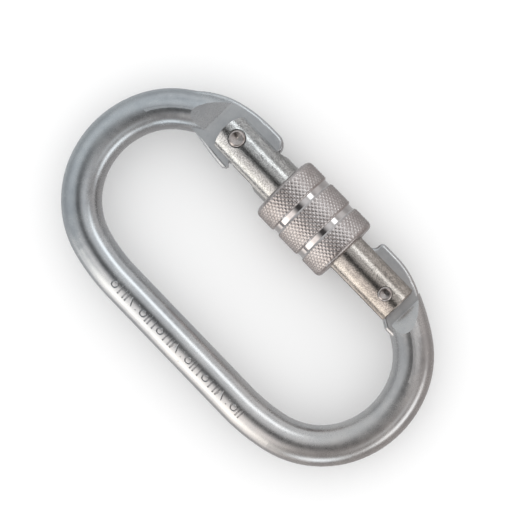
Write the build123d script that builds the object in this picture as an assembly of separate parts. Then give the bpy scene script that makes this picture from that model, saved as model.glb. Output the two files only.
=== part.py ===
from build123d import *

import math
import os

# Oval steel connector with a hinged gate and a screw sleeve, lying flat.
#
# Frame: +X runs from the hinge end to the nose end, +Y from the spine to the gate and +Z out of
# the ring's plane. The origin is the centre of the whole object's box. Lengths are millimetres.

# ---- the ring: one round bar, bent to an oval, its two ends forged flat ----
BAR_R = 5.1
SPINE_HALF = 20.6
# radius and turn of each bend, from the spine round to the gate side
BENDS = ((49.3, 13.9), (21.6, 49.3), (23.3, 56.0))
HINGE_BENDS = BENDS + ((20.0, 22.5), (50.0, 13.0))
NOSE_BENDS = BENDS + ((20.0, 27.0), (50.0, 13.0))
BAR_END_X = 32.5
GATE_TO_SPINE = 44.94

# ---- the two forged flats ----
PLATE_T = 5.7
PLATE_EDGE_R = 0.9
# where each ramp leaves its flat, and how far it runs for each unit it rises
HINGE_RIDGE_X = 33.0
HINGE_RAMP_RUN = 5.6
NOSE_RIDGE_X = 33.2
NOSE_RAMP_RUN = 4.4
RIDGE_R = 2.5
FORGED_HALF_WIDTH = 13.0
# where the outer edge of each flat dives into the bar
BACK_X = 45.4
BACK_Y = -3.9
# the finger outside the gate, and the edge between finger and gate, at the hinge end
FINGER_Y = 8.25
FINGER_TIP_X = -16.25
FINGER_UNDER_Y = 3.0
FINGER_LIP = 0.6
FINGER_TOP = ((-19.2, FINGER_Y), (-22.0, FINGER_Y))
FINGER_NOSE = ((-17.15, 7.4), (FINGER_TIP_X, 5.4))
HINGE_SHOULDER = (-31.5, 7.0)
# the cam's foot, measured from the hinge, the tab inside the gate and the inner edge after it
CAM_FOOT = ((5.1, FINGER_UNDER_Y), (4.3, 2.2))
TAB = ((-23.56, -5.25), (-22.81, -6.2), (-23.06, -6.9), (-23.96, -7.45))
HINGE_INNER = ((-29.4, -7.0), (-34.4, -6.1), (-40.2, -6.0))
# the finger and the tongue under the closed gate, at the nose end
NOSE_FINGER_X = 17.24
NOSE_FINGER_Y = 8.15
TONGUE_X = 13.7
TONGUE_LOW_Y = -4.8
TONGUE_HIGH_Y = 5.05
NOSE_FINGER_BACK_X = 22.5
NOSE_SHOULDER = (31.0, 6.35)
NOSE_INNER = ((30.4, TONGUE_LOW_Y), (33.0, -6.35), (38.6, -6.35))
# the radius at each corner of the finger, the tongue and the inner edge, in turn
NOSE_CORNERS = (1.1, 1.7, 1.2, 1.2, 1.0, 1.0)

# ---- the gate, a turned bar along X ----
GATE_R = 5.9
GATE_NOSE_X = 31.15
GATE_HINGE_X = -29.95
GATE_HINGE_SIDE_X = -27.5
GATE_CORNER = 1.7
GATE_END_CHAMFER = 0.3
HINGE_X = -25.8
PIN_X = 26.8
PIN_Y = -0.45
SLOT_W = 5.9
HINGE_SLOT_X = -13.9
NOSE_SLOT_X = 10.9
GATE_OPEN_DEG = 33.0

# ---- the locking sleeve ----
SLEEVE_R = 9.225
SLEEVE_X0 = -10.0
SLEEVE_X1 = 12.6
SLEEVE_CORNER = 1.5
SLEEVE_CHAMFER = 0.4
GROOVE_W = 1.6
GROOVE_DEPTH = 0.45
GROOVE_LIP_R = 0.4
GROOVE_XS = (-2.9, 5.5)
SLEEVE_CLEAR = 0.08

# ---- thread between gate and sleeve ----
THREAD_PITCH = 1.5
THREAD_DEPTH = 0.7
THREAD_HALF_W = 0.63
THREAD_LAP = 0.12
THREAD_X0 = -4.6
THREAD_X1 = 5.9
SLEEVE_THREAD_INSET = 0.3

# ---- rivets ----
RIVET_R = 2.0
PIN_R = 1.9
HEAD_R = 2.18
HEAD_SINK = 1.1
HEAD_PROUD = 0.28
HEAD_DOME_H = 0.6
SEAT_GAP = 0.2
HEAD_BULGE = 0.07
# the hollow in each kind of head, as (radius, depth) from its lip to its middle
RIVET_HOLLOW = ((1.6, 0.0), (0.4, 0.3), (0.0, 0.6))
PIN_HOLLOW = ((1.35, 0.0), (1.15, 0.65), (0.0, 0.85))
RIVET_CLEAR = 0.06
NOTCH_CLEAR = 0.12
NOTCH_SWEEP_DEG = -8.0

# ---- spring and plunger in the gate's blind bore ----
# the plunger's round nose stands this far from the hinge, and is pushed back evenly with the swing
NOSE_REACH = 6.6
CAM_RISE = 4.0
CAM_CLEAR = 0.06
# swings at which the cam's curve is fixed; it runs on a little past both ends of the travel
CAM_SWINGS = (-12.0, 0.0, 9.0, 18.0, 26.0, GATE_OPEN_DEG + 1.0)
PLUNGER_R = 1.9
PLUNGER_LEN = 11.0
BORE_CLEAR = 0.06
BORE_END_X = 7.0
WIRE_R = 0.28
SPRING_R = 1.5
SPRING_TURNS = 12
SPRING_END_GAP = 0.05

# ---- stamped row of plain marks along the spine: V grooves and punched dots ----
MARK_DEPTH = 0.24
MARK_W = 0.46
MARK_H = 2.6
MARK_Y = -1.4
MARK_X0 = -21.0
MARK_STEP = 2.0
MARK_COUNT = 23
PAIR_GAP = 0.9
RING_R = 0.87
DOT_TIP_R = 0.02
SLASH_DEG = 24.0
# one letter for each shape, repeated along the row: I stroke, R ring, D dots, S slash, W two strokes
MARK_ORDER = "RIWSDRWI"

SPINE_Y = (BAR_R - SLEEVE_R - GATE_TO_SPINE) / 2
GATE_Y = SPINE_Y + GATE_TO_SPINE
HALF_T = PLATE_T / 2


def near_gate(x, y):
    """A point in the ring's plane, y measured from the gate's axis."""
    return (x, GATE_Y + y)


# ---------------------------------------------------------------- the ring


def bar_path():
    """The bar's centreline, from the hinge end round the spine to the nose end."""
    edges = [Line((-SPINE_HALF, SPINE_Y), (SPINE_HALF, SPINE_Y))]
    for side, bends in ((1, NOSE_BENDS), (-1, HINGE_BENDS)):
        start = Vector(side * SPINE_HALF, SPINE_Y)
        heading = Vector(side, 0)
        for radius, turn in bends:
            arc = JernArc(start, heading, radius, side * turn)
            edges.append(arc)
            start = arc @ 1
            heading = arc % 1
    return Wire(edges)


def bar():
    path = bar_path()
    section = Plane(origin=path @ 0, z_dir=path % 0) * Circle(BAR_R)
    return sweep(section, path=path)


def flat_cutter(side, ridge_x, ramp_run):
    """What forging takes off one end of the bar: down to the plate's faces, with a ramp."""
    rise = 1.6 * (BAR_R - HALF_T)
    ramp_end = ridge_x + rise * ramp_run / (BAR_R - HALF_T)
    reach = Polyline(
        (0, HALF_T),
        (ridge_x, HALF_T),
        (ramp_end, HALF_T + rise),
        (ramp_end, 3 * BAR_R),
        (0, 3 * BAR_R),
        close=True,
    )
    profile = make_face(reach)
    ridge = profile.vertices().sort_by_distance((ridge_x, HALF_T, 0))[0]
    profile = fillet(ridge, RIDGE_R)
    block = extrude(Plane.XZ.offset(-GATE_Y) * profile, FORGED_HALF_WIDTH, both=True)
    if side < 0:
        block = mirror(block, Plane.YZ)
    return block + mirror(block, Plane.XY)


def hinge_plate():
    """The flat hinge end: outer finger, cam edge for the plunger, inner tab, rivet hole."""
    back = near_gate(-BACK_X, BACK_Y)
    top = Line(near_gate(*FINGER_TOP[0]), near_gate(*FINGER_TOP[1]))
    upper = TangentArc(top @ 1, near_gate(*HINGE_SHOULDER), tangent=top % 1)
    outer = TangentArc(upper @ 1, back, tangent=upper % 1)
    tip = ThreePointArc(top @ 0, near_gate(*FINGER_NOSE[0]), near_gate(*FINGER_NOSE[1]))
    front = Line(tip @ 1, near_gate(FINGER_TIP_X, FINGER_UNDER_Y + FINGER_LIP))
    cam = Spline(*[cam_point(swing) for swing in CAM_SWINGS])
    under = Polyline(
        front @ 1,
        near_gate(FINGER_TIP_X - FINGER_LIP, FINGER_UNDER_Y),
        *[near_gate(HINGE_X + x, y) for x, y in CAM_FOOT],
        cam @ 0,
    )
    tab = Polyline(cam @ 1, *[near_gate(*point) for point in TAB])
    bend, end, close_from = [near_gate(*point) for point in HINGE_INNER]
    inner = ThreePointArc(tab @ 1, bend, end)
    close = Polyline(inner @ 1, close_from, back)
    outline = make_face([outer, upper, top, tip, front, under, cam, tab, inner, close])
    plate = extrude(outline, HALF_T, both=True)
    plate = soften(plate, [outer, upper, top, tip, inner])
    hole = Pos(*near_gate(HINGE_X, 0)) * Cylinder(RIVET_R + RIVET_CLEAR, 2 * BAR_R)
    return plate - hole


def cam_point(swing_deg):
    """A point on the cam edge, the curve that the plunger's nose just clears as the gate swings."""
    swing = math.radians(swing_deg)
    reach = NOSE_REACH + CAM_RISE * swing
    across = CAM_RISE * math.cos(swing) - reach * math.sin(swing)
    down = -CAM_RISE * math.sin(swing) - reach * math.cos(swing)
    gap = (PLUNGER_R + CAM_CLEAR) / math.hypot(across, down)
    x = reach * math.cos(swing) + gap * down
    y = -reach * math.sin(swing) - gap * across
    return near_gate(HINGE_X + x, y)


def nose_plate():
    """The flat nose end: finger, tongue under the closed gate, notch for the latch pin."""
    back = near_gate(BACK_X, BACK_Y)
    finger_start = near_gate(NOSE_FINGER_BACK_X, NOSE_FINGER_Y)
    upper = TangentArc(finger_start, near_gate(*NOSE_SHOULDER), tangent=(1, 0))
    outer = TangentArc(upper @ 1, back, tangent=upper % 1)
    finger = FilletPolyline(
        finger_start,
        near_gate(NOSE_FINGER_X, NOSE_FINGER_Y),
        near_gate(NOSE_FINGER_X, TONGUE_HIGH_Y),
        near_gate(TONGUE_X, TONGUE_HIGH_Y),
        near_gate(TONGUE_X, TONGUE_LOW_Y),
        *[near_gate(*point) for point in NOSE_INNER],
        radius=NOSE_CORNERS,
    )
    close = Line(finger @ 1, back)
    outline = make_face([outer, upper, finger, close])
    plate = extrude(outline, HALF_T, both=True)
    plate = soften(plate, [outer, upper])
    rest_deg = math.degrees(math.atan2(PIN_Y, PIN_X - HINGE_X))
    reach = math.hypot(PIN_X - HINGE_X, PIN_Y)
    arc = CenterArc(near_gate(HINGE_X, 0), reach, rest_deg, NOTCH_SWEEP_DEG)
    notch = SlotArc(arc, 2 * (PIN_R + NOTCH_CLEAR))
    return plate - extrude(notch, HALF_T + 1, both=True)


def soften(plate, outlines):
    """Round the plate's face edges along the given outlines."""
    wanted = []
    for edge in plate.edges():
        middle = edge @ 0.5
        on_face = abs(abs(middle.Z) - HALF_T) < 0.01 and abs((edge @ 0).Z - (edge @ 1).Z) < 0.01
        flat = Vector(middle.X, middle.Y, 0)
        if on_face and any(line.distance_to(flat) < 0.01 for line in outlines):
            wanted.append(edge)
    return fillet(wanted, PLATE_EDGE_R)


def v_section(middle, level):
    """A V whose point is MARK_DEPTH under level; it runs on above level, twice as wide."""
    return make_face(
        Polyline(
            (middle - MARK_W, level + MARK_DEPTH),
            (middle, level - MARK_DEPTH),
            (middle + MARK_W, level + MARK_DEPTH),
            close=True,
        )
    )


def cross_groove():
    """A groove across the bar's top, equally deep all along; the bar's axis is X."""
    spread = math.degrees(MARK_H / BAR_R)
    return Rot(90 - spread / 2, 0, 0) * revolve(v_section(0, BAR_R), Axis.X, spread)


def mark_shape(kind):
    """One stamped shape, to be cut from the top of a bar whose axis is X."""
    if kind == "I":
        return [cross_groove()]
    if kind == "W":
        return [Pos(-PAIR_GAP / 2, 0) * cross_groove(), Pos(PAIR_GAP / 2, 0) * cross_groove()]
    if kind == "S":
        slash = extrude(Plane.XZ * v_section(0, 0), MARK_H / 2, both=True)
        return [Pos(0, 0, BAR_R) * Rot(0, 0, SLASH_DEG) * slash]
    if kind == "R":
        return [Pos(0, 0, BAR_R) * revolve(Plane.XZ * v_section(RING_R, 0), Axis.Z)]
    dot = Cone(DOT_TIP_R, MARK_W, 2 * MARK_DEPTH)
    return [Pos(0, -RING_R, BAR_R) * dot, Pos(0, RING_R, BAR_R) * dot]


def stamped_marks():
    """The row of marks, turned round the bar's axis to sit beside its top line."""
    turn = Rot(math.degrees(math.asin(-MARK_Y / BAR_R)), 0, 0)
    marks = []
    for i in range(MARK_COUNT):
        place = Pos(MARK_X0 + i * MARK_STEP, SPINE_Y) * turn
        marks += [place * shape for shape in mark_shape(MARK_ORDER[i % len(MARK_ORDER)])]
    return marks


def make_frame():
    stub = Pos(*near_gate(0, 0)) * Box(2 * BAR_END_X, 4 * BAR_R, 4 * BAR_R)
    ring = bar() - stub
    ring -= flat_cutter(-1, HINGE_RIDGE_X, HINGE_RAMP_RUN)
    ring -= flat_cutter(1, NOSE_RIDGE_X, NOSE_RAMP_RUN)
    return ring + hinge_plate() + nose_plate() - stamped_marks()


# ---------------------------------------------------------------- the gate


def gate_end_outline():
    """The gate from above: its hinge end a shallow arc, its nose end flat with a round corner."""
    wide = GATE_R + 1
    corner_y = GATE_R - GATE_CORNER
    hinge_end = ThreePointArc(
        near_gate(GATE_HINGE_SIDE_X, -wide),
        near_gate(GATE_HINGE_X, 0),
        near_gate(GATE_HINGE_SIDE_X, wide),
    )
    corner = ThreePointArc(
        near_gate(GATE_NOSE_X - GATE_CORNER, wide),
        near_gate(GATE_NOSE_X - GATE_CORNER / 3, corner_y + 0.75 * GATE_CORNER),
        near_gate(GATE_NOSE_X, corner_y),
    )
    low = near_gate(GATE_NOSE_X, -wide)
    lines = [Line(hinge_end @ 1, corner @ 0), Line(corner @ 1, low), Line(low, hinge_end @ 0)]
    return extrude(make_face([hinge_end, corner] + lines), 2 * GATE_R, both=True)


def slot_cutter(end_x, open_x):
    """A slot open to one end of the gate, milled with its inner end round."""
    length = abs(open_x - end_x) + SLOT_W
    side = 1 if open_x > end_x else -1
    shape = SlotOverall(length, SLOT_W)
    shape = Pos(end_x + side * length / 2, 0) * shape
    return extrude(Plane.XZ.offset(-GATE_Y) * shape, 2 * GATE_R, both=True)


def head_seats():
    """Counterbores for the hinge rivet's two heads in the gate's cheeks."""
    seat = Cylinder(HEAD_R + SEAT_GAP, 2 * GATE_R) - Cylinder(2 * HEAD_R, 2 * (GATE_R - HEAD_SINK))
    return Pos(*near_gate(HINGE_X, 0)) * seat


def along_gate(shape, x):
    """Turn a shape made along +Z to lie along +X on the gate's axis, starting at x."""
    return Pos(x, GATE_Y, 0) * Rot(0, 90, 0) * shape


def thread_groove(radius, depth, start_x, length):
    """A helical V groove; a negative depth cuts outwards, into a bore's wall."""
    path = Helix(THREAD_PITCH, length, radius)
    mouth = radius + math.copysign(THREAD_LAP, depth)
    section = Plane.XZ * make_face(
        Polyline(
            (mouth, -THREAD_HALF_W), (mouth, THREAD_HALF_W), (radius - depth, 0), close=True
        )
    )
    groove = sweep(section, path=path, is_frenet=True)
    return along_gate(groove, start_x)


def cylinder_from(start_x, radius, length):
    """A cylinder on the gate's axis, running along +X from start_x."""
    return along_gate(Cylinder(radius, length, align=(Align.CENTER, Align.CENTER, Align.MIN)), start_x)


def make_gate():
    over = GATE_R
    body = cylinder_from(HINGE_X - over, GATE_R, GATE_NOSE_X - HINGE_X + over)
    body = chamfer(body.faces().sort_by(Axis.X)[-1].edges(), GATE_END_CHAMFER)
    body &= gate_end_outline()
    body -= slot_cutter(HINGE_SLOT_X, HINGE_X - 2 * over)
    body -= slot_cutter(NOSE_SLOT_X, GATE_NOSE_X + over)
    bore_x = HINGE_SLOT_X - SLOT_W / 2
    body -= cylinder_from(bore_x, PLUNGER_R + BORE_CLEAR, BORE_END_X - bore_x)
    body -= Pos(*near_gate(HINGE_X, 0)) * Cylinder(RIVET_R, 4 * GATE_R)
    body -= Pos(*near_gate(PIN_X, PIN_Y)) * Cylinder(PIN_R, 4 * GATE_R)
    body -= head_seats()
    body -= thread_groove(GATE_R, THREAD_DEPTH, THREAD_X0, THREAD_X1 - THREAD_X0)
    return body


# ---------------------------------------------------------------- rivets


def rivet_head(head_r, hollow):
    """A domed head with a punched hollow in its middle, from inside the cheek to above it."""
    top = GATE_R + HEAD_PROUD
    seat = GATE_R - HEAD_SINK
    rim = (head_r, top - HEAD_DOME_H)
    inside = [(r, top - depth) for r, depth in hollow]
    lip = inside[0]
    over = ((head_r + lip[0]) / 2 + HEAD_BULGE, top - HEAD_DOME_H / 2 + HEAD_BULGE)
    dome = ThreePointArc(rim, over, lip)
    sides = Polyline(*inside, (0, seat), (head_r, seat), rim)
    return revolve(Plane.XZ * make_face([dome, sides]), Axis.Z)


def make_rivet(x, y, shank_r, head_r, hollow):
    """A cross pin through both cheeks of the gate, with a head at each end."""
    head = rivet_head(head_r, hollow)
    body = Cylinder(shank_r, 2 * (GATE_R - HEAD_SINK)) + head + mirror(head, Plane.XY)
    return Pos(*near_gate(x, y)) * body


# ---------------------------------------------------------------- the sleeve


def make_sleeve():
    """A turned ring with rounded ends and two grooves, threaded inside."""
    bore = GATE_R + SLEEVE_CLEAR
    middle_x = (SLEEVE_X0 + SLEEVE_X1) / 2
    wall = Pos(middle_x, (bore + SLEEVE_R) / 2) * Rectangle(SLEEVE_X1 - SLEEVE_X0, SLEEVE_R - bore)
    wall = fillet(wall.vertices().filter_by_position(Axis.Y, bore + 1, SLEEVE_R + 1), SLEEVE_CORNER)
    wall = chamfer(wall.vertices().filter_by_position(Axis.Y, 0, bore + 0.1), SLEEVE_CHAMFER)
    for x in GROOVE_XS:
        wall -= Pos(x, SLEEVE_R) * Rectangle(GROOVE_W, 2 * GROOVE_DEPTH)
    lips = [
        v
        for v in wall.vertices().filter_by_position(Axis.Y, SLEEVE_R - 0.1, SLEEVE_R + 0.1)
        if min(abs(v.X - x) for x in GROOVE_XS) < GROOVE_W
    ]
    wall = fillet(lips, GROOVE_LIP_R)
    body = Pos(0, GATE_Y, 0) * revolve(wall, Axis.X)
    start = THREAD_X0 + SLEEVE_THREAD_INSET
    length = THREAD_X1 - THREAD_X0 - 2 * SLEEVE_THREAD_INSET
    return body - thread_groove(bore, -THREAD_DEPTH, start, length)


# ---------------------------------------------------------------- spring and plunger


def make_plunger():
    """A pin with a round nose, touching the hinge plate's cam edge from the gate's bore."""
    start = HINGE_X + NOSE_REACH
    return cylinder_from(start, PLUNGER_R, PLUNGER_LEN) + along_gate(Sphere(PLUNGER_R), start)


def make_spring():
    """The closing spring, between the plunger and the end of the bore."""
    start = HINGE_X + NOSE_REACH + PLUNGER_LEN + SPRING_END_GAP + WIRE_R
    length = BORE_END_X - SPRING_END_GAP - WIRE_R - start
    path = Helix(length / SPRING_TURNS, length, SPRING_R)
    section = Plane(origin=path @ 0, z_dir=path % 0) * Circle(WIRE_R)
    return along_gate(sweep(section, path=path, is_frenet=True), start)


NODES = {
    "frame": make_frame,
    "gate": make_gate,
    "lock_sleeve": make_sleeve,
    "hinge_rivet": lambda: make_rivet(HINGE_X, 0, RIVET_R, HEAD_R, RIVET_HOLLOW),
    "latch_pin": lambda: make_rivet(PIN_X, PIN_Y, PIN_R, PIN_R, PIN_HOLLOW),
    "gate_spring": make_spring,
    "spring_plunger": make_plunger,
}

os.makedirs("parts", exist_ok=True)
for name, make in NODES.items():
    solid = make()
    solid.label = name
    export_step(solid, f"parts/{name}.step")
    print(name, round(solid.volume, 1), solid.is_valid)
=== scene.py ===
import math

import bmesh
import bpy
from mathutils import Matrix, Vector


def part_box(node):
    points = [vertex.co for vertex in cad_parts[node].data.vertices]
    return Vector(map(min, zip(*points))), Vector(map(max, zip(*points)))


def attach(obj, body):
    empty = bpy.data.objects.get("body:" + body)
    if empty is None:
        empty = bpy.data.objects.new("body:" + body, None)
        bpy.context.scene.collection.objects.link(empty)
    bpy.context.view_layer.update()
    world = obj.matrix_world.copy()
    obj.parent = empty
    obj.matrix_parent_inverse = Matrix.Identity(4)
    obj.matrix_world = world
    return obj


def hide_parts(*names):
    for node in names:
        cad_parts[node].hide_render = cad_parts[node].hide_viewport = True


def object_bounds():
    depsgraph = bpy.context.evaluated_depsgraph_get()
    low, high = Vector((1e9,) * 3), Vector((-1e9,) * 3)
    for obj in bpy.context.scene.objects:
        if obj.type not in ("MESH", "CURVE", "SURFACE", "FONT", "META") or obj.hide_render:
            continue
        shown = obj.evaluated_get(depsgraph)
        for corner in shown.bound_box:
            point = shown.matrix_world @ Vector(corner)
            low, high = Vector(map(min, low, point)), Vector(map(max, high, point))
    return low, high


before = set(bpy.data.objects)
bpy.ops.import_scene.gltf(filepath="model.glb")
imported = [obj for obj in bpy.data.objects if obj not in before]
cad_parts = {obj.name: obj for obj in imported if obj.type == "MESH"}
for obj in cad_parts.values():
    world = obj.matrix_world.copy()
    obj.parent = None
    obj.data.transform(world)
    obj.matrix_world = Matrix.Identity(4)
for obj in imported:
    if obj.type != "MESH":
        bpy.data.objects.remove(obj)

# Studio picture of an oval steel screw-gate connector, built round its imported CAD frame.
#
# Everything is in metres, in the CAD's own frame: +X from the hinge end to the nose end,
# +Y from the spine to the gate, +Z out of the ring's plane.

CAD_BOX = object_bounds()
MM = 0.001

# ---------------------------------------------------------------- camera

VIEW_TARGET = Vector((1.40, 3.84, 0.0)) * MM
VIEW_ROLL = math.radians(46.0)
VIEW_TILT = math.radians(2.8)
VIEW_WIDTH = 131.5 * MM
VIEW_DISTANCE = 0.55


def make_camera():
    """Looks straight down on the ring, a little from the nose end, with the ring's length
    running down to the right of the picture."""
    data = bpy.data.cameras.new("camera")
    data.lens = data.sensor_width * VIEW_DISTANCE / VIEW_WIDTH
    data.clip_start = 0.01
    data.clip_end = 20.0
    back = Vector((math.sin(VIEW_TILT), 0.0, math.cos(VIEW_TILT)))
    up = Vector((-math.sin(VIEW_ROLL), math.cos(VIEW_ROLL), 0.0))
    right = up.cross(back).normalized()
    up = back.cross(right)
    camera = bpy.data.objects.new("camera", data)
    camera.matrix_world = Matrix.Translation(VIEW_TARGET + back * VIEW_DISTANCE) @ Matrix(
        (right, up, back)
    ).transposed().to_4x4()
    bpy.context.scene.collection.objects.link(camera)
    bpy.context.scene.camera = camera


# ---------------------------------------------------------------- node helpers


class Nodes:
    """Short calls for building one material's or world's node tree."""

    def __init__(self, tree):
        self.tree = tree
        tree.nodes.clear()

    def add(self, kind, **values):
        """A node; names of inputs get values or links, other names are its properties."""
        node = self.tree.nodes.new(kind)
        inputs = values.pop("inputs", {})
        for name, value in values.items():
            setattr(node, name, value)
        for name, value in inputs.items():
            if isinstance(value, bpy.types.NodeSocket):
                self.tree.links.new(value, node.inputs[name])
            else:
                node.inputs[name].default_value = value
        return node

    def math(self, operation, a, b=0.0, clamp=False):
        node = self.add("ShaderNodeMath", operation=operation, use_clamp=clamp)
        for socket, value in zip(node.inputs, (a, b)):
            if isinstance(value, bpy.types.NodeSocket):
                self.tree.links.new(value, socket)
            else:
                socket.default_value = value
        return node.outputs[0]

    def vector(self, operation, a, b):
        return self.add(
            "ShaderNodeVectorMath", operation=operation, inputs={0: a, 1: b}
        ).outputs[0]

    def scale(self, vector, factor):
        return self.add(
            "ShaderNodeVectorMath", operation="SCALE", inputs={0: vector, "Scale": factor}
        ).outputs[0]

    def noise(self, point, scale, detail=2.0, roughness=0.5):
        node = self.add(
            "ShaderNodeTexNoise",
            inputs={"Vector": point, "Scale": scale, "Detail": detail, "Roughness": roughness},
        )
        return node.outputs["Fac"]

    def ramp(self, fac, stops, mode="LINEAR"):
        """A colour ramp: stops are (position, colour) pairs."""
        node = self.add("ShaderNodeValToRGB", inputs={"Fac": fac})
        node.color_ramp.interpolation = mode
        elements = node.color_ramp.elements
        while len(elements) < len(stops):
            elements.new(0.5)
        for element, (position, colour) in zip(elements, stops):
            element.position = position
            element.color = (*colour, 1.0) if len(colour) == 3 else colour
        return node.outputs["Color"]

    def remap(self, value, low, high, out_low, out_high):
        node = self.add(
            "ShaderNodeMapRange",
            inputs={
                "Value": value,
                "From Min": low,
                "From Max": high,
                "To Min": out_low,
                "To Max": out_high,
            },
        )
        return node.outputs["Result"]


# ---------------------------------------------------------------- materials

# Painted shading on the forged flats: how much darker the hinge end's ramp and lighter the nose
# end's ramp are than their flats, and how much darker the nose end's flats are. This is painted
# shade and painted light that follow how the real object was lit, not tones of its plate.
RAMP_PAINTED_SHADING = 0.12
NOSE_FLATS_PAINTED_SHADE = 0.08
# The slope of a ramp's normal along X at which the whole painted shading is reached.
RAMP_LEAN = 0.2
# The flats lie on the gate's side of this line, and face up or down within these limits.
FLATS_FROM_Y = 9.0 * MM
FLAT_Y_LIMIT = 0.03
FLAT_Z_LIMIT = 0.95
# The noise levels between which a nick reaches its depth, their scale per metre and their colour.
NICK_LEVELS = (0.78, 0.82)
NICK_SHARE = 0.7
NICK_SCALE = 700.0
NICK_COLOUR = (0.12, 0.10, 0.09, 1)


def plated_steel(name, shades, rough, grain, depth, spots, forged=0.0, pits=0.0, painted_light_tints=None):
    """Zinc-plated steel: a satin metal whose plate is finely grained and slightly clouded.

    shades are three colours, dark to light; rough is a pair of roughness limits; grain is the
    size of the plate's grain and depth its height, in metres; spots is how much the grain
    shows in the colour; forged is the extra roughness of the flats beside the gate, and when
    it is set they also get painted shading; pits is the depth of scattered small nicks, in
    metres; the last argument, the painted light tints, is half the length over which the colour
    changes along X, in metres, and the colours at the hinge end and the nose end. These are
    painted light and painted shade: a colour of light that runs from cool at the hinge end to
    warm at the nose end, and on the gate painted shade towards the nose end.
    """
    material = bpy.data.materials.new(name)
    material.use_nodes = True
    n = Nodes(material.node_tree)
    coords = n.add("ShaderNodeTexCoord")
    point = coords.outputs["Object"]
    cloud = n.noise(point, 60.0, 4.0, 0.6)
    patch = n.noise(point, 420.0, 4.0, 0.65)
    fine = n.noise(point, 1.0 / grain, 3.0, 0.7)
    speck = n.noise(point, 0.45 / grain, 2.0, 0.6)
    mixed = n.math("ADD", n.math("MULTIPLY", cloud, 0.6), n.math("MULTIPLY", patch, 0.4))
    mixed = n.math("ADD", mixed, n.math("MULTIPLY", n.math("SUBTRACT", fine, 0.5), spots))
    colour = n.ramp(mixed, ((0.32, shades[0]), (0.5, shades[1]), (0.68, shades[2])))
    roughness = n.remap(mixed, 0.3, 0.7, rough[0], rough[1])
    height = n.math("ADD", fine, n.math("MULTIPLY", speck, 0.6))
    if forged:
        flat, flats_painted_shading = forged_flats_and_painted_shading(n, coords)
        roughness = n.math("ADD", roughness, n.math("MULTIPLY", flat, forged))
        # Painted shade and painted light on the ramps, and painted shade on the flats at the nose
        # end, multiplied into the colour.
        colour = n.scale(colour, flats_painted_shading)
    if painted_light_tints:
        place = n.add("ShaderNodeSeparateXYZ", inputs={"Vector": point}).outputs["X"]
        reach, hinge_painted_tint, nose_painted_tint = painted_light_tints
        share = n.remap(place, -reach, reach, 0.0, 1.0)
        # Painted light colour and painted shade along X, multiplied into the colour.
        tint = n.ramp(share, ((0.0, hinge_painted_tint), (1.0, nose_painted_tint)))
        colour = n.vector("MULTIPLY", colour, tint)
    bump = n.add("ShaderNodeBump", inputs={"Height": height, "Strength": 1.0, "Distance": depth})
    if pits:
        nick = n.remap(n.noise(point, NICK_SCALE), *NICK_LEVELS, 0.0, NICK_SHARE)
        colour = n.add(
            "ShaderNodeMix", data_type="RGBA", inputs={0: nick, 6: colour, 7: NICK_COLOUR}
        ).outputs[2]
        bump = n.add(
            "ShaderNodeBump",
            inputs={"Height": nick, "Distance": -pits, "Normal": bump.outputs["Normal"]},
        )
    shader = n.add(
        "ShaderNodeBsdfPrincipled",
        inputs={"Base Color": colour, "Roughness": roughness, "Normal": bump.outputs["Normal"]},
    )
    shader.inputs["Metallic"].default_value = 1.0
    n.add("ShaderNodeOutputMaterial", inputs={"Surface": shader.outputs[0]})
    return material


def forged_flats_and_painted_shading(n, coords):
    """Where forging left flats and ramps beside the gate, and the painted shading laid on them.

    The first is 1 on them and 0 on the round bar. The second is the painted shading: 1 on the
    bar, painted shade on the ramp at the hinge end, which leans to -X, painted light on the one
    at the nose end, and painted shade on all of them that lie at the nose end.
    """
    normal = n.add("ShaderNodeSeparateXYZ", inputs={"Vector": coords.outputs["Normal"]}).outputs
    place = n.add("ShaderNodeSeparateXYZ", inputs={"Vector": coords.outputs["Object"]}).outputs
    level = n.math("LESS_THAN", n.math("ABSOLUTE", normal["Y"]), FLAT_Y_LIMIT)
    up = n.math("GREATER_THAN", n.math("ABSOLUTE", normal["Z"]), FLAT_Z_LIMIT)
    near_gate = n.math("GREATER_THAN", place["Y"], FLATS_FROM_Y)
    flat = n.math("MULTIPLY", n.math("MULTIPLY", level, up), near_gate)
    # Painted shade on a ramp that leans to -X and painted light on one that leans to +X.
    ramp_painted_shade_and_light = n.remap(normal["X"], -RAMP_LEAN, RAMP_LEAN, -RAMP_PAINTED_SHADING, RAMP_PAINTED_SHADING)
    # Painted shade on the flats and ramps at the nose end.
    side = n.remap(place["X"], -MM, MM, 0.0, -NOSE_FLATS_PAINTED_SHADE)
    painted_shade_and_light = n.math("MULTIPLY", flat, n.math("ADD", ramp_painted_shade_and_light, side))
    return flat, n.math("ADD", painted_shade_and_light, 1.0)


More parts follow.
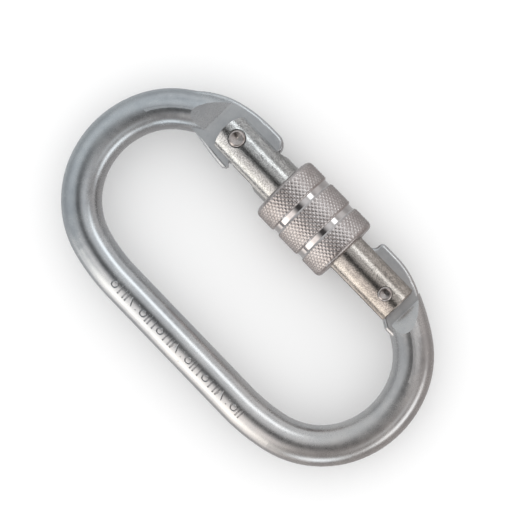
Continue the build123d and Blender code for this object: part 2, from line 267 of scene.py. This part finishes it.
def make_materials():
    zinc = ((0.50, 0.515, 0.53), (0.60, 0.61, 0.615), (0.68, 0.68, 0.675))
    warm = ((0.33, 0.32, 0.305), (0.53, 0.515, 0.49), (0.74, 0.72, 0.69))
    pink = ((0.42, 0.375, 0.365), (0.54, 0.49, 0.475), (0.68, 0.63, 0.62))
    turned = ((0.54, 0.50, 0.49), (0.64, 0.60, 0.59), (0.74, 0.70, 0.69))
    steel = ((0.40, 0.355, 0.34), (0.55, 0.50, 0.48), (0.68, 0.63, 0.61))
    wire = ((0.30, 0.30, 0.31), (0.40, 0.40, 0.41), (0.48, 0.48, 0.48))
    return {
        "bar": plated_steel(
            "satin_zinc_bar",
            zinc,
            rough=(0.2, 0.32),
            grain=0.25 * MM,
            depth=0.006 * MM,
            spots=0.3,
            # Extra roughness of the forged flats, which also brings their painted shading.
            forged=0.2,
            pits=0.05 * MM,
            # Painted light colour: cool at the hinge end and warm at the nose end.
            painted_light_tints=(50 * MM, (0.975, 1.0, 1.03), (1.04, 0.99, 0.97)),
        ),
        "gate": plated_steel(
            "bright_zinc_gate",
            warm,
            rough=(0.12, 0.22),
            grain=0.28 * MM,
            depth=0.024 * MM,
            spots=1.3,
            # Painted light colour and painted shade: cool at the hinge end, warmer and darker at
            # the nose end.
            painted_light_tints=(22 * MM, (0.95, 0.98, 1.02), (0.87, 0.81, 0.775)),
        ),
        "knurl": plated_steel(
            "knurled_zinc_sleeve",
            pink,
            rough=(0.16, 0.3),
            grain=0.3 * MM,
            depth=0.008 * MM,
            spots=0.6,
        ),
        "groove": plated_steel(
            "turned_zinc_groove",
            turned,
            rough=(0.06, 0.12),
            grain=0.3 * MM,
            depth=0.001 * MM,
            spots=0.2,
        ),
        "rivet": plated_steel(
            "peened_rivet_steel",
            steel,
            rough=(0.1, 0.2),
            grain=0.3 * MM,
            depth=0.01 * MM,
            spots=0.6,
        ),
        "spring": plated_steel(
            "drawn_spring_wire",
            wire,
            rough=(0.25, 0.35),
            grain=0.2 * MM,
            depth=0.003 * MM,
            spots=0.3,
        ),
    }


def dress(node, material):
    """Give a CAD node its material."""
    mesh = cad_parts[node].data
    mesh.materials.clear()
    mesh.materials.append(material)


# ---------------------------------------------------------------- the knurled sleeve

# In millimetres, along X and out from the sleeve's axis. The knurl has KNURL_COUNT diamonds
# round the sleeve, each of KNURL_STEPS steps, and KNURL_TOP over 1 cuts their points flat.
KNURL_COUNT = 54
KNURL_PITCH_X = 1.4
KNURL_STEPS = 8
KNURL_DEPTH = 0.18
KNURL_TOP = 1.06
# The knurl fades in over KNURL_FADE, a plain RIM in from each end of the sleeve, and
# BAND_FADE times as fast as the crown beside each groove.
RIM = 0.55
KNURL_FADE = 0.5
BAND_FADE = 1.4
CORNER_R = 1.4
CORNER_STEPS = 8
GROOVE_CENTRES = (-2.9, 5.5)
GROOVE_HALF = 0.85
GROOVE_DEPTH = 0.5
BAND_CROWN = 0.55
BORE_R = 5.98
BORE_CHAMFER = 0.4
THREAD_PITCH = 1.5
THREAD_DEPTH = 0.7
THREAD_ENDS = (-4.3, 5.6)
THREAD_FADE = 0.4
THREAD_STEPS = 60


def smooth(t):
    """0 up to t = 0 and 1 from t = 1, with a smooth rise between."""
    t = min(max(t, 0.0), 1.0)
    return t * t * (3 - 2 * t)


def sleeve_profile(x0, x1, radius):
    """(x, radius, knurl share) down the sleeve's outside, in millimetres."""
    quarter = [math.pi / 2 * i / CORNER_STEPS for i in range(CORNER_STEPS)]
    start = [
        (x0 + CORNER_R * (1 - math.cos(a)), radius - CORNER_R * (1 - math.sin(a))) for a in quarter
    ]
    straight = x1 - x0 - 2 * CORNER_R
    count = round(straight * KNURL_STEPS / KNURL_PITCH_X)
    middle = [(x0 + CORNER_R + straight * i / count, radius) for i in range(count + 1)]
    rows = start + middle + [(x0 + x1 - x, r) for x, r in reversed(start)]
    shaped = []
    for x, r in rows:
        share = smooth((x - x0 - RIM) / KNURL_FADE) * smooth((x1 - RIM - x) / KNURL_FADE)
        for centre in GROOVE_CENTRES:
            away = abs(x - centre) - GROOVE_HALF
            if away < 0:
                r = radius - GROOVE_DEPTH
                share = 0.0
            elif away < BAND_CROWN:
                t = away / BAND_CROWN
                r = min(r, radius - GROOVE_DEPTH * (1 - math.sqrt(1 - (1 - t) ** 2)))
                share *= smooth(t * BAND_FADE)
        shaped.append((x, r, share))
    return shaped


def triangle(t):
    """A wave of period 1 that rises from 0 to 1 and falls back."""
    return 1 - abs(2 * (t % 1.0) - 1)


def knurl_height(x, turn):
    """0 in the grooves of the diamond knurl and 1 on its flattened points."""
    a = triangle(turn * KNURL_COUNT + x / KNURL_PITCH_X)
    b = triangle(turn * KNURL_COUNT - x / KNURL_PITCH_X)
    return min(1.0, KNURL_TOP * min(a, b))


def make_sleeve(knurl_material, groove_material):
    """The sleeve as one closed lathe-like mesh: knurled outside, threaded bore inside."""
    low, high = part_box("lock_sleeve")
    x0, x1 = low.x / MM, high.x / MM
    axis_y = (low.y + high.y) / 2
    radius = (high.z - low.z) / 2 / MM
    outside = sleeve_profile(x0, x1, radius)
    bore = bore_rows(x0, x1)
    around = KNURL_COUNT * KNURL_STEPS
    bm = bmesh.new()
    rings = []
    polished = []
    for x, r, share in outside:
        polished.append(any(abs(x - centre) <= GROOVE_HALF for centre in GROOVE_CENTRES))
        ring = []
        for i in range(around):
            turn = i / around
            height = r - share * KNURL_DEPTH * (1 - knurl_height(x, turn))
            ring.append(lathe_vertex(bm, x, height, turn, axis_y))
        rings.append(ring)
    for x, r, cut in bore:
        ring = []
        for i in range(around):
            turn = i / around
            depth = cut * THREAD_DEPTH * triangle(x / THREAD_PITCH - turn)
            ring.append(lathe_vertex(bm, x, r + depth, turn, axis_y))
        polished.append(False)
        rings.append(ring)
    for k in range(len(rings)):
        a, b = rings[k], rings[(k + 1) % len(rings)]
        for i in range(around):
            j = (i + 1) % around
            face = bm.faces.new((a[i], a[j], b[j], b[i]))
            face.material_index = int(polished[k])
    bmesh.ops.recalc_face_normals(bm, faces=bm.faces)
    for face in bm.faces:
        face.smooth = True
    mesh = bpy.data.meshes.new("knurled_sleeve")
    bm.to_mesh(mesh)
    bm.free()
    mesh.materials.append(knurl_material)
    mesh.materials.append(groove_material)
    sleeve = bpy.data.objects.new("knurled_sleeve", mesh)
    bpy.context.scene.collection.objects.link(sleeve)
    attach(sleeve, "sleeve")
    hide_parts("lock_sleeve")


def lathe_vertex(bm, x, r, turn, axis_y):
    """A vertex at x and radius r, turned from +Y towards +Z; x and r are in millimetres."""
    a = 2 * math.pi * turn
    return bm.verts.new((x * MM, axis_y + r * MM * math.cos(a), r * MM * math.sin(a)))


def bore_rows(x0, x1):
    """(x, radius, thread share) back through the bore, from the nose end to the hinge end."""
    rows = [(x1, BORE_R + BORE_CHAMFER, 0.0), (x1 - BORE_CHAMFER, BORE_R, 0.0)]
    start, end = THREAD_ENDS
    for i in range(THREAD_STEPS + 1):
        x = end + (start - end) * i / THREAD_STEPS
        share = smooth((x - start) / THREAD_FADE) * smooth((end - x) / THREAD_FADE)
        rows.append((x, BORE_R, share))
    rows += [(x0 + BORE_CHAMFER, BORE_R, 0.0), (x0, BORE_R + BORE_CHAMFER, 0.0)]
    return rows


# ---------------------------------------------------------------- stage and light


FLOOR_SIZE = 6.0
FLOOR_COLOUR = (0.93, 0.93, 0.93, 1)


def make_floor():
    """A pale matt floor under the ring, which the metal doesn't mirror."""
    low, high = CAD_BOX
    bpy.ops.mesh.primitive_plane_add(size=FLOOR_SIZE, location=(0, 0, low.z))
    floor = bpy.context.object
    floor.name = "floor"
    material = bpy.data.materials.new("pale_floor")
    material.use_nodes = True
    shader = material.node_tree.nodes["Principled BSDF"]
    shader.inputs["Base Color"].default_value = FLOOR_COLOUR
    shader.inputs["Roughness"].default_value = 0.9
    floor.data.materials.append(material)
    floor.visible_glossy = False


def towards(azimuth, from_zenith):
    """A unit vector; azimuth 0 is +X and 90 is +Y, in degrees."""
    a, z = math.radians(azimuth), math.radians(from_zenith)
    return Vector((math.cos(a) * math.sin(z), math.sin(a) * math.sin(z), math.cos(z)))


def soft_panel(n, ray, azimuth, from_zenith, half_width, half_height, edge):
    """How far a ray's direction is inside a soft-edged panel far away: 1 inside, 0 outside.

    half_width runs round the horizon and half_height towards the zenith, in degrees; edge is
    the share of the panel's size over which it fades.
    """
    facing = towards(azimuth, from_zenith)
    side = Vector((0, 0, 1)).cross(facing).normalized()
    rise = facing.cross(side)
    parts = [
        n.add("ShaderNodeVectorMath", operation="DOT_PRODUCT", inputs={0: ray, 1: axis}).outputs[
            "Value"
        ]
        for axis in (side, rise, facing)
    ]
    across = n.math("DIVIDE", parts[0], math.sin(math.radians(half_width)))
    along = n.math("DIVIDE", parts[1], math.sin(math.radians(half_height)))
    reach = n.math("SQRT", n.math("ADD", n.math("POWER", across, 2), n.math("POWER", along, 2)))
    inside = n.add(
        "ShaderNodeMapRange",
        interpolation_type="SMOOTHSTEP",
        inputs={
            "Value": reach,
            "From Min": 1.0 + edge,
            "From Max": max(1.0 - edge, 0.0),
            "To Min": 0.0,
            "To Max": 1.0,
        },
    ).outputs["Result"]
    return n.math("MULTIPLY", inside, n.math("GREATER_THAN", parts[2], 0.0))


# The soft panels that the metal mirrors, placed for highlights like those on the real
# object: azimuth, angle from the zenith, half width, half height, soft edge, strength, colour.
PANELS = (
    (92, 43, 21, 8, 0.5, 1.8, (0.93, 0.98, 1.0)),
    (85, 20, 30, 12, 0.8, 0.45, (0.95, 0.98, 1.0)),
    (5, 80, 26, 9, 0.6, 1.5, (0.93, 0.98, 1.0)),
    (-47, 86, 15, 12, 0.7, 1.5, (0.88, 0.96, 1.0)),
    (0, 47, 20, 7, 0.8, 0.5, (0.90, 0.97, 1.0)),
    (-90, 78, 15, 16, 0.6, 1.6, (1.0, 0.96, 0.89)),
    (-90, 47, 15, 16, 0.6, 0.9, (1.0, 0.94, 0.90)),
    (-90, 104, 20, 14, 0.8, 0.9, (1.0, 0.95, 0.9)),
    (180, 58, 60, 24, 0.9, 0.28, (0.92, 0.97, 1.0)),
    (80, 78, 60, 20, 0.8, 0.3, (1.0, 0.97, 0.96)),
)
# What it mirrors between them, on the -X side and on the +X side.
SHADE = ((0.38, 0.40, 0.41), (0.26, 0.24, 0.232))
# What is added below the horizon, growing between these heights of the mirrored direction.
TABLE = (0.16, 0.16, 0.16)
TABLE_HEIGHTS = (-0.1, -0.6)
# A darker patch overhead, placed like a panel, and the share of the light that it leaves.
HOLE = (-90, 10, 30, 10, 0.5)
HOLE_LEVEL = 0.15
ROOM_STRENGTH = 1.2


def make_light():
    """A white room for the floor, and a plain set of soft panels for the metal to mirror."""
    scene = bpy.context.scene
    scene.view_settings.view_transform = "Standard"
    world = bpy.data.worlds.new("studio")
    scene.world = world
    world.use_nodes = True
    n = Nodes(world.node_tree)
    ray = n.add("ShaderNodeTexCoord").outputs["Generated"]
    part = n.add("ShaderNodeSeparateXYZ", inputs={"Vector": ray}).outputs
    colour = n.ramp(n.remap(part["X"], -1, 1, 0, 1), ((0.25, SHADE[0]), (0.75, SHADE[1])))
    below = n.scale(TABLE, n.remap(part["Z"], *TABLE_HEIGHTS, 0.0, 1.0))
    colour = n.vector("ADD", colour, below)
    for azimuth, zenith, width, height, edge, strength, tint in PANELS:
        share = soft_panel(n, ray, azimuth, zenith, width, height, edge)
        colour = n.vector("ADD", colour, n.scale(tuple(strength * c for c in tint), share))
    colour = n.scale(colour, n.remap(soft_panel(n, ray, *HOLE), 0, 1, 1, HOLE_LEVEL))
    mirrored = n.add("ShaderNodeBackground", inputs={"Color": colour, "Strength": 1.0})
    room = n.add(
        "ShaderNodeBackground", inputs={"Color": (1, 1, 1, 1), "Strength": ROOM_STRENGTH}
    )
    glossy = n.add("ShaderNodeLightPath").outputs["Is Glossy Ray"]
    mix = n.add(
        "ShaderNodeMixShader",
        inputs={0: glossy, 1: room.outputs[0], 2: mirrored.outputs[0]},
    )
    n.add("ShaderNodeOutputWorld", inputs={"Surface": mix.outputs[0]})


# ---------------------------------------------------------------- the whole scene

make_camera()
materials = make_materials()
dress("frame", materials["bar"])
dress("gate", materials["gate"])
dress("hinge_rivet", materials["rivet"])
dress("latch_pin", materials["rivet"])
dress("spring_plunger", materials["rivet"])
dress("gate_spring", materials["spring"])
make_sleeve(materials["knurl"], materials["groove"])
make_floor()
make_light()
